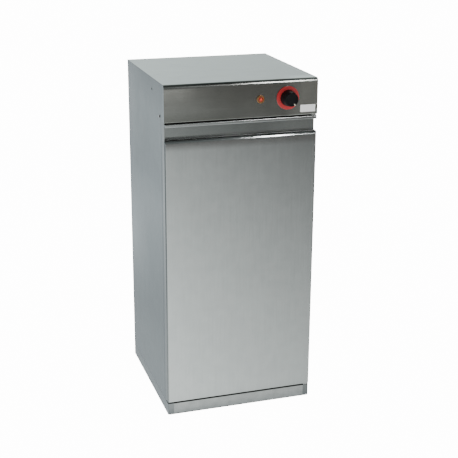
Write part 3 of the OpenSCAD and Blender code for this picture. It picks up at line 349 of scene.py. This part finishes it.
wool = {"fibres": (0.004, 6.0, (1, 1, 3.2), 0.7), "fibred": (0.3, 0.72), "clumps": (0.022, 3.0),
        "clumped": (0.45, 0.75), "light": (0.80, 0.71, 0.43), "dark": (0.46, 0.38, 0.17),
        "clump": (0.62, 0.50, 0.25), "share": 0.4, "clumpHeight": 0.6, "relief": 0.8, "depth": 0.002,
        "gloss": {"rough": 0.95, "specular": 0.15, "sheen": 0.25, "sheenRough": 0.6}}


def mineralWool():
    made = Finish("mineralWool")
    fibres, clumps = made.noise(*wool["fibres"]), made.noise(*wool["clumps"])
    base = made.blendColours(made.span(fibres, *wool["fibred"]), rgba(wool["dark"]), rgba(wool["light"]))
    base = made.blendColours(made.span(clumps, *wool["clumped"]) * wool["share"], base, rgba(wool["clump"]))
    normal = made.bump(fibres + clumps * wool["clumpHeight"], wool["relief"], wool["depth"])
    return made.give(colour=base, normal=normal, **wool["gloss"])


sheath = {"heat": (0.03, 3.0), "heated": (0.35, 0.7), "scale": (0.0015, 4.0), "scaled": (0.55, 0.8),
          "dark": (0.075, 0.068, 0.066), "burnt": (0.18, 0.13, 0.10), "flake": (0.26, 0.24, 0.23),
          "share": 0.5, "rough": 0.5, "scaleRough": 0.25, "metal": 0.75, "relief": 0.3, "depth": 0.0003}


def burntSheath():
    made = Finish("burntSheath")
    heat, scale = made.noise(*sheath["heat"]), made.noise(*sheath["scale"])
    base = made.blendColours(made.span(heat, *sheath["heated"]), rgba(sheath["dark"]), rgba(sheath["burnt"]))
    flakes = made.span(scale, *sheath["scaled"]) * sheath["share"]
    base = made.blendColours(flakes, base, rgba(sheath["flake"]))
    return made.give(colour=base, rough=sheath["rough"] + scale * sheath["scaleRough"], metal=sheath["metal"],
                     normal=made.bump(scale, sheath["relief"], sheath["depth"]))


# outer screws: bright crowns, with painted shade in the recess and towards the front. The recess is measured
# down from the crown's top, the front from the screw's middle
screwLook = {"marks": (0.0012, 3.0), "marked": (0.35, 0.7), "clean": (0.96, 0.96, 0.95),
             "worn": (0.84, 0.84, 0.83), "recess": 0.34, "recessFrom": 0.0002, "recessTo": 0.0019,
             "recessEdge": 0.0004, "front": (0.12, 0.13, 0.13), "frontFrom": 0.0012, "frontTo": 0.0020,
             "rough": 0.42, "markRough": 0.15, "metal": 0.2, "relief": 0.06, "depth": 0.0003}


def screwSteel():
    look = screwLook
    made = Finish("screwSteel")
    marks = made.noise(*look["marks"])
    low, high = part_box("side_screws")
    place = made.spot()
    crown, middle = high[0], (low[1] + high[1]) / 2
    top, bottom = crown - look["recessFrom"], crown - look["recessTo"]
    recess = (made.span(place.size(), top, top - look["recessEdge"])
              * made.span(place.size(), bottom, bottom + look["recessEdge"]))
    front = made.span(place.other(1), middle - look["frontFrom"], middle - look["frontTo"])
    base = made.blendColours(made.span(marks, *look["marked"]), rgba(look["clean"]), rgba(look["worn"]))
    # painted shade in the recess and on the side towards the front
    base = made.blendColours(recess, base, rgba(look["recess"]), "MULTIPLY")
    base = made.blendColours(front, base, rgba(look["front"]), "MULTIPLY")
    return made.give(colour=base, rough=look["rough"] + marks * look["markRough"], metal=look["metal"],
                     normal=made.bump(marks, look["relief"], look["depth"]))


# ribbed lens: dark red at the rim, paler where the lamp sits behind its middle; far and near are the shares
# of the radius at which the paler part begins and is full
lens = {"rim": (0.31, 0.020, 0.007), "middle": (0.85, 0.13, 0.06), "glow": 0.06, "radius": 0.0034,
        "far": 0.95, "near": 0.25, "rings": (0.0016, 2.0), "uneven": 0.0012, "rough": 0.10, "ringRough": 0.08,
        "relief": 0.12, "depth": 0.0004}


def redLens():
    made = Finish("redLens")
    rings = made.noise(*lens["rings"])
    low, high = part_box("lamp_lens")
    place = made.spot()
    aside, above = place - (low[0] + high[0]) / 2, place.other(2) - (low[2] + high[2]) / 2
    reach = (aside * aside + above * above) ** 0.5 + (rings - 0.5) * lens["uneven"]
    middle = made.span(reach, lens["radius"] * lens["far"], lens["radius"] * lens["near"])
    base = made.blendColours(middle, rgba(lens["rim"]), rgba(lens["middle"]))
    return made.give(colour=base, rough=lens["rough"] + rings * lens["ringRough"], ior=1.49, coat=0.15,
                     coatRough=0.2, glow=base, glowStrength=lens["glow"],
                     normal=made.bump(rings, lens["relief"], lens["depth"]))


finishOf = {
    "cover": brushedSteel("coverSteel", 0, shades=coverShades),
    "doorSkin": brushedSteel("casingSteelUp", 2, shades=doorShades, ease=doorEase),
    "side": brushedSteel("sideSteel", 2, tint=(0.968, 1.0, 1.030), roughShift=0.02, shades=sideShades),
    "tray": brushedSteel("traySteel", 0, tint=(1.21, 1.235, 1.26), roughShift=0.06, shades=trayShades),
    "strip": brushedSteel("stripSteel", 0, strip, shades=stripShades),
    "innerSheet": brushedSteel("innerSheet", 0, sheet),
    "frameSheet": brushedSteel("frameSheet", 0, sheet, shades=frameShades),
    "wool": mineralWool(), "sheath": burntSheath(), "screws": screwSteel(), "lens": redLens(),
    "wire": wornSurface("chromedWire", chrome), "plated": wornSurface("platedSteel", zinc),
    "rubber": wornSurface("siliconeRubber", rubber), "label": wornSurface("bareLabel", bareCard),
    "brass": warmMetal("turnedBrass", (0.72, 0.56, 0.27), (0.50, 0.36, 0.16), 0.25),
    "copper": warmMetal("drawnCopper", (0.72, 0.42, 0.28), (0.42, 0.24, 0.16), 0.30),
    "aged": warmMetal("agedRivet", (0.20, 0.20, 0.20), (0.09, 0.085, 0.08), 0.42),
    "gilt": warmMetal("giltCollar", (0.56, 0.30, 0.14), (0.40, 0.16, 0.06), 0.24),
    "red": mouldedPlastic("redBezel", (0.50, 0.014, 0.018), (0.54, 0.030, 0.030), 0.42, coat=0.05),
    "black": mouldedPlastic("blackPlastic", (0.008, 0.008, 0.0095), (0.016, 0.016, 0.018), 0.46, shine=0.16),
    "cream": mouldedPlastic("creamPlastic", (0.72, 0.68, 0.56), (0.60, 0.55, 0.43), 0.45),
    "ivory": mouldedPlastic("pointerIvory", (0.80, 0.74, 0.60), (0.66, 0.60, 0.46), 0.45),
    "wireCover": mouldedPlastic("wireCover", (0.42, 0.06, 0.05), (0.30, 0.07, 0.06), 0.5)}
dressed = {
    "cover": ["top_cover"], "doorSkin": ["door_skin"], "side": ["left_side_panel", "right_side_panel"],
    "tray": ["base_tray"], "strip": ["plinth_front"], "frameSheet": ["front_frame", "control_shelf"],
    "innerSheet": ["back_panel", "floor_pan", "left_cleat", "right_cleat", "liner_wrap", "liner_floor",
                   "liner_back", "front_element_stand", "rear_element_stand", "element_guard",
                   "door_inner_panel"],
    "wool": ["side_insulation", "back_insulation", "roof_insulation", "floor_insulation", "door_insulation"],
    "wire": ["left_rack", "right_rack", "lower_shelf", "upper_shelf"],
    "plated": ["rack_studs", "hinge_pins", "hinge_screws", "door_rivets", "thermostat_screws",
               "thermostat_shaft", "upper_hinge_leaf", "lower_hinge_leaf", "catch_strike", "bulb_clips",
               "side_screws", "back_screws"],
    "aged": ["cleat_rivets"], "sheath": ["heating_element"], "brass": ["element_bushes"],
    "copper": ["capillary", "thermostat_bulb"], "gilt": ["lamp_collar"], "red": ["dial_bezel"],
    "lens": ["lamp_lens"],
    "black": ["knob", "lamp_nut", "cable_gland", "gland_nut", "magnetic_catch"],
    "cream": ["thermostat_body", "terminal_block", "pivot_bushes"], "ivory": ["knob_pointer"],
    "wireCover": ["wiring_loom"], "rubber": ["door_gasket"]}
for finish, names in dressed.items():
    for name in names:
        mesh = nodes[name].data
        mesh.materials.clear()
        mesh.materials.append(finishOf[finish])
bare = [name for name in nodes if not any(name in names for names in dressed.values())]
print("finishes on:", len(nodes) - len(bare), "nodes; without one:", bare)


def pieceFrom(name, shape, finish):
    mesh = bpy.data.meshes.new(name)
    shape.to_mesh(mesh)
    shape.free()
    piece = bpy.data.objects.new(name, mesh)
    bpy.context.scene.collection.objects.link(piece)
    mesh.materials.append(finishOf[finish])
    return piece


label = {"left": 0.1534, "right": 0.1935, "low": 0.7995, "high": 0.8178, "corner": 0.0012, "thick": 0.00018,
         "cornerSteps": 4}


# a bare card on the fascia, with rounded corners
def bareSticker():
    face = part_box("top_cover")[0][1]
    shape = bmesh.new()
    radius, steps = label["corner"], label["cornerSteps"]
    outline = []
    for sideX, sideZ, start in (("right", "high", 0), ("left", "high", 90),
                                ("left", "low", 180), ("right", "low", 270)):
        middle = math.radians(start + 45)
        inX = label[sideX] - math.copysign(radius, math.cos(middle))
        inZ = label[sideZ] - math.copysign(radius, math.sin(middle))
        for step in range(steps + 1):
            turn = math.radians(start + step * 90 / steps)
            x, z = inX + radius * math.cos(turn), inZ + radius * math.sin(turn)
            outline.append(shape.verts.new((x, face, z)))
    under = shape.faces.new(outline)
    over = bmesh.ops.extrude_face_region(shape, geom=[under])["geom"]
    bmesh.ops.translate(shape, verts=[v for v in over if isinstance(v, bmesh.types.BMVert)],
                        vec=(0, -label["thick"], 0))
    bmesh.ops.recalc_face_normals(shape, faces=shape.faces)
    piece = pieceFrom("fasciaLabel", shape, "label")
    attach(piece, "cabinet")


# pan head with a cross recess, its axis along z, its seat at 0
panHead = {"radius": 0.0038, "rim": 0.0006, "edge": 0.0002, "height": 0.0019, "shank": 0.0020,
           "length": 0.0065, "steps": 40, "crownSteps": 8, "slot": 0.00115, "slotWidth": 0.00042,
           "slotDepth": 0.0009, "slotAbove": 0.0003, "slotTop": 1.25, "slotFoot": 0.55, "slotStraight": 0.6}


def turnedShape(profile, steps):
    shape = bmesh.new()
    rings = []
    for radius, height in profile:
        turns = [2 * math.pi * i / steps for i in range(steps)] if radius else [0]
        spots = [(radius * math.cos(turn), radius * math.sin(turn), height) for turn in turns]
        rings.append([shape.verts.new(spot) for spot in spots])
    for below, above in zip(rings, rings[1:]):
        for i in range(steps):
            corners = [below[i % len(below)], below[(i + 1) % len(below)],
                       above[(i + 1) % len(above)], above[i % len(above)]]
            shape.faces.new([corner for n, corner in enumerate(corners) if corner not in corners[:n]])
    bmesh.ops.recalc_face_normals(shape, faces=shape.faces)
    return shape


# the arms taper from slotTop to slotFoot of their size; slotStraight is the share of the width that doesn't
def crossShape(look):
    shape = bmesh.new()
    straight = look["slotStraight"]
    levels = []
    for height, scale in ((look["height"] + look["slotAbove"], look["slotTop"]),
                          (look["height"] - look["slotDepth"], look["slotFoot"])):
        a, b = look["slot"] * scale, look["slotWidth"] * (straight + (1 - straight) * scale)
        spots = [(a, -b), (a, b), (b, b), (b, a), (-b, a), (-b, b),
                 (-a, b), (-a, -b), (-b, -b), (-b, -a), (b, -a), (b, -b)]
        levels.append([shape.verts.new((x, y, height)) for x, y in spots])
    top, foot = levels
    shape.faces.new(top)
    shape.faces.new(foot)
    for i, corner in enumerate(top):
        after = (i + 1) % len(top)
        shape.faces.new([corner, top[after], foot[after], foot[i]])
    bmesh.ops.recalc_face_normals(shape, faces=shape.faces)
    return shape


def screwMesh(look):
    profile = [(0, -look["length"]), (look["shank"], -look["length"]), (look["shank"], 0),
               (look["radius"] - look["edge"], 0), (look["radius"], look["edge"]),
               (look["radius"], look["rim"])]
    for step in range(1, look["crownSteps"]):
        turn = math.radians(90 * step / look["crownSteps"])
        rise = (look["height"] - look["rim"]) * math.sin(turn)
        profile.append((look["radius"] * math.cos(turn), look["rim"] + rise))
    profile.append((0, look["height"]))
    screw = pieceFrom("screwBlank", turnedShape(profile, look["steps"]), "plated")
    cutter = pieceFrom("screwCutter", crossShape(look), "plated")
    cut = screw.modifiers.new("recess", "BOOLEAN")
    cut.operation, cut.solver, cut.object = "DIFFERENCE", "EXACT", cutter
    seen = bpy.context.evaluated_depsgraph_get()
    mesh = bpy.data.meshes.new_from_object(screw.evaluated_get(seen))
    for spare in (screw, cutter):
        bpy.data.objects.remove(spare)
    return mesh


# one piece of several screws: each place is a seat point, a direction and a turn of the recess in degrees
def screwRow(name, node, mesh, places, width=1.0):
    shape = bmesh.new()
    narrowed = Matrix.Diagonal((width, width, 1.0, 1.0))
    for seat, way, turn in places:
        start = len(shape.verts)
        shape.from_mesh(mesh)
        shape.verts.ensure_lookup_table()
        aim = Vector(way).to_track_quat("Z", "X").to_matrix().to_4x4()
        move = Matrix.Translation(seat) @ aim @ Matrix.Rotation(math.radians(turn), 4, "Z") @ narrowed
        bmesh.ops.transform(shape, matrix=move, verts=shape.verts[start:])
    piece = pieceFrom(name, shape, "screws")
    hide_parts(node)
    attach(piece, "cabinet")


# how the recesses are turned, how near the seat a head's corners are, and how far apart two rows are at least
screwSet = {"sideTurns": (24, 61), "backTurn": 31, "backTilt": 17, "near": 0.0001, "apart": 0.004}


def sideScrews(mesh):
    low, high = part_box("side_screws")
    seat = high[0] - panHead["height"]
    y, z = (low[1] + high[1]) / 2, (low[2] + high[2]) / 2
    places = [((side * seat, y, z), (side, 0, 0), turn) for side, turn in zip((-1, 1), screwSet["sideTurns"])]
    screwRow("sidePanelScrews", "side_screws", mesh, places)


# the heads' own corners give the heights of the rows and the heads' radius
def backScrews(mesh):
    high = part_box("back_screws")[1]
    seat = high[1] - panHead["height"]
    corners = [vert.co for vert in nodes["back_screws"].data.vertices]
    heights = sorted({round(co.z, 3) for co in corners if abs(co.y - seat) < screwSet["near"]})
    rows = []
    for z in heights:
        if not rows or z - rows[-1][-1] > screwSet["apart"]:
            rows.append([])
        rows[-1].append(z)
    radius = (rows[0][-1] - rows[0][0]) / 2
    places = []
    for n, row in enumerate(rows):
        for side in (-1, 1):
            place = (side * (high[0] - radius), seat, (row[0] + row[-1]) / 2)
            places.append((place, (0, 1, 0), screwSet["backTurn"] * n + screwSet["backTilt"] * side))
    print("back screws:", len(places))
    screwRow("backPanelScrews", "back_screws", mesh, places, radius / panHead["radius"])


bareSticker()
panScrew = screwMesh(panHead)
sideScrews(panScrew)
backScrews(panScrew)
print("small pieces made")


# the stage: white paper for the camera, a softer and uneven light for what the metal mirrors. That light
# falls off to the right (fall) and past a slanting edge (corner, slant, edge); the pairs are where one level
# passes into the next
stage = {"paper": (0.90, 0.90, 0.895), "fibre": (0.86, 0.86, 0.855), "grain": (0.002, 3.0), "grained": 0.3,
         "rough": 0.9, "specular": 0.1, "reach": 40.0, "seen": 20.0, "around": 2.6, "peak": 1.4,
         "glowShare": 0.8, "near": 1.18, "flatTo": -0.25, "fall": 0.83, "corner": (0.9, -0.2), "slant": 0.9,
         "edge": (3.3, 4.3), "beyond": 0.42, "least": 0.13, "footEdge": (-0.30, -0.20), "foot": 0.72,
         "aheadEdge": (-0.235, -0.165), "leftEdge": (-0.9, -0.3), "besideEdge": (-0.2, 0.3), "side": 0.45,
         "behind": 0.55, "patchNear": (0.6, 1.5), "patchFar": (3.4, 1.9), "patch": 0.16,
         "front": (0.935, 1.0, 0.985), "far": (1.0, 0.985, 0.93), "sideTint": (0.86, 0.96, 1.0)}


# how bright the metal sees each spot of the floor, and in which tint
def floorGlow(paper):
    across = paper.spot()
    deep = across.other(1)
    away = (across - stage["corner"][0]) * stage["slant"] - (deep - stage["corner"][1])
    dimmed = paper.span(away, *stage["edge"])
    fall = (across.atLeast(stage["flatTo"]) * (-1.0 / stage["fall"])).exponent()
    front = (stage["near"] * fall * (1 - dimmed * (1 - stage["beyond"]))).atLeast(stage["least"])
    front = front * paper.span(deep, *stage["footEdge"], 1.0, stage["foot"])
    ahead = paper.span(deep, *stage["aheadEdge"], 1.0, 0.0) * paper.span(across, *stage["leftEdge"])
    patch = paper.span(deep, *stage["patchNear"]) * paper.span(deep, *stage["patchFar"])
    beside = paper.span(across, *stage["besideEdge"], stage["side"], stage["behind"]) + patch * stage["patch"]
    level = beside + ahead * (front - beside)
    tint = paper.blendColours(dimmed, rgba(stage["front"]), rgba(stage["far"]))
    tint = paper.blendColours(ahead, rgba(stage["sideTint"]), tint)
    return paper.blendColours(level * (1 / stage["peak"]), rgba(0), tint)


def stageFloor():
    bpy.ops.mesh.primitive_plane_add(size=2 * stage["reach"], location=(0, 0, 0))
    floor = bpy.context.object
    floor.name = "studioFloor"
    paper = Finish("studioPaper")
    grain = paper.noise(*stage["grain"]) * stage["grained"]
    paper.give(colour=paper.blendColours(grain, rgba(stage["paper"]), rgba(stage["fibre"])),
               rough=stage["rough"], specular=stage["specular"])
    mirrored = paper.glowing(floorGlow(paper), stage["peak"])
    seen = paper.glowing(rgba(stage["paper"]), stage["seen"])
    around = paper.glowing(rgba(stage["paper"]), stage["around"])
    paths = paper.node("ShaderNodeLightPath")
    plain = paper.node("ShaderNodeMixShader", None, {"0": paths, "1": around, "2": seen})
    lit = paper.node("ShaderNodeMixShader", None,
                     {"0": stage["glowShare"], "1": Wire(paper, paper.shader.outputs[0]), "2": plain})
    both = paper.node("ShaderNodeMixShader", None,
                      {"0": paths.other("Is Glossy Ray"), "1": lit, "2": mirrored})
    paper.tree.links.new(both.socket, paper.tree.nodes["Material Output"].inputs["Surface"])
    floor.data.materials.append(paper.material)


# the room as the metal sees it: dim in front and overhead, pale behind; the camera sees plain white
room = {"seen": 20.0, "peak": 20.0, "front": 0.16, "left": 1.30, "right": 0.58, "overhead": 0.12,
        "leftRight": (-0.05, 0.6), "frontBack": (-0.35, 0.45), "upward": (0.50, 0.70),
        "tint": (0.88, 1.0, 0.985), "paper": (0.90, 0.90, 0.895)}


def paleRoom():
    world = bpy.data.worlds.new("paleRoom")
    bpy.context.scene.world = world
    world.use_nodes = True
    sky = Graph(world.node_tree)
    across = sky.node("ShaderNodeSeparateXYZ", None, {"Vector": sky.node("ShaderNodeTexCoord")})
    ahead, height = across.other(1), across.other(2)
    backdrop = sky.span(across, *room["leftRight"], room["left"], room["right"])
    level = room["front"] + sky.span(ahead, *room["frontBack"]) * (backdrop - room["front"])
    level = level + sky.span(height, *room["upward"]) * (room["overhead"] - level)
    glow = sky.blendColours(level * (1 / room["peak"]), rgba(0), rgba(room["tint"]))
    seen = sky.blendColours(room["seen"] / room["peak"], rgba(0), rgba(room["paper"]))
    paths = sky.node("ShaderNodeLightPath")
    back = world.node_tree.nodes["Background"]
    sky.feed(back.inputs["Color"], sky.blendColours(paths, glow, seen))
    sky.feed(back.inputs["Strength"], room["peak"])


# a narrow light whose image lies along the front folds; up is the way its second side runs
stripLight = {"place": (1.110, -2.668, 2.165), "aim": (0.09, -0.2, 0.80), "up": (0, 0.485, 0.875),
              "size": (0.165, 1.7), "watts": 12.3}


def areaLight(name, look):
    lamp = bpy.data.lights.new(name, "AREA")
    lamp.shape = "RECTANGLE"
    lamp.size, lamp.size_y = look["size"]
    lamp.energy = look["watts"]
    holder = bpy.data.objects.new(name, lamp)
    back = (Vector(look["place"]) - Vector(look["aim"])).normalized()
    across = Vector(look["up"]).cross(back).normalized()
    axes = Matrix((across, back.cross(across), back)).transposed()
    holder.matrix_world = Matrix.Translation(look["place"]) @ axes.to_4x4()
    bpy.context.scene.collection.objects.link(holder)


stageFloor()
paleRoom()
areaLight("rightStrip", stripLight)
print("stage and light set")

photo = {"place": (-0.8023, -2.6064, 1.3538), "yaw": 17.73, "pitch": 18.54, "roll": 0.308, "lens": 81.9,
         "sensor": 36}


# the camera at the photograph's angle; yaw, pitch and roll in degrees
def photoCamera():
    yaw, pitch, roll = (math.radians(photo[key]) for key in ("yaw", "pitch", "roll"))
    ahead = Vector((math.sin(yaw) * math.cos(pitch), math.cos(yaw) * math.cos(pitch), -math.sin(pitch)))
    right = Vector((math.cos(yaw), -math.sin(yaw), 0))
    up = right.cross(ahead)
    turned = right * math.cos(roll) + up * math.sin(roll)
    up = up * math.cos(roll) - right * math.sin(roll)
    camera = bpy.data.objects.new("photoCamera", bpy.data.cameras.new("photoCamera"))
    camera.data.sensor_width = photo["sensor"]
    camera.data.lens = photo["lens"]
    axes = Matrix((turned, up, -ahead)).transposed()
    camera.matrix_world = Matrix.Translation(photo["place"]) @ axes.to_4x4()
    bpy.context.scene.collection.objects.link(camera)
    bpy.context.scene.camera = camera


photoCamera()
print("camera set")
